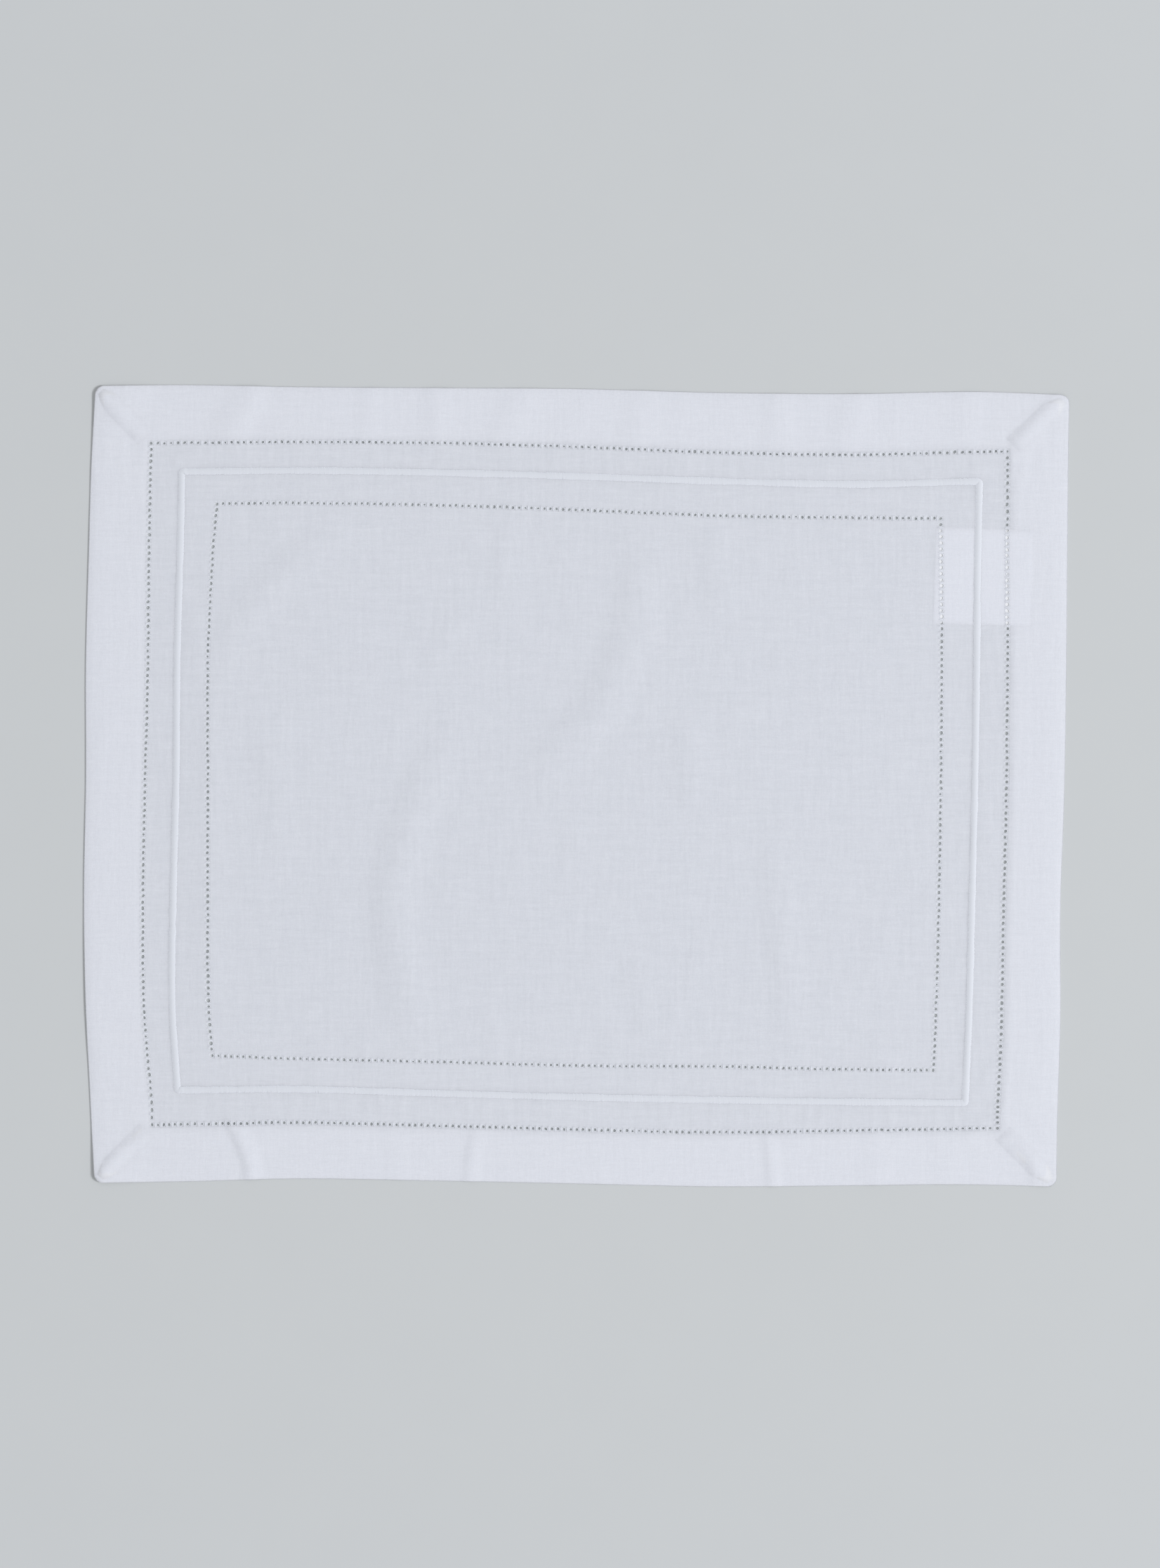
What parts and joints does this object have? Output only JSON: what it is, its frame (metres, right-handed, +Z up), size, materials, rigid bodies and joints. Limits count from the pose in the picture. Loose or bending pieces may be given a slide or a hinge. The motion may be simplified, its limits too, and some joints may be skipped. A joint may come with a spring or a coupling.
{
  "type": "fabric placemat",
  "caption": "Rectangular white linen placemat with a wide mitred hem, hemstitched hole rows and a raised satin-stitched cord between them, lying flat with soft wrinkles.",
  "frame": {"origin": "middle of the mat's outline, on the table", "axes": "+X along the long side, towards the side with the label; +Y away from the diner; +Z up"},
  "size_m": [0.501, 0.4076, 0.0038],
  "materials": {
    "linen": "matt sheer weave",
    "satin_thread": "soft sheen",
    "label_tape": "smooth woven tape"
  },
  "bodies": {
    "root": {"mat_cloth": "linen", "satin_cord": "satin_thread", "care_label": "label_tape"}
  },
  "joints": []
}
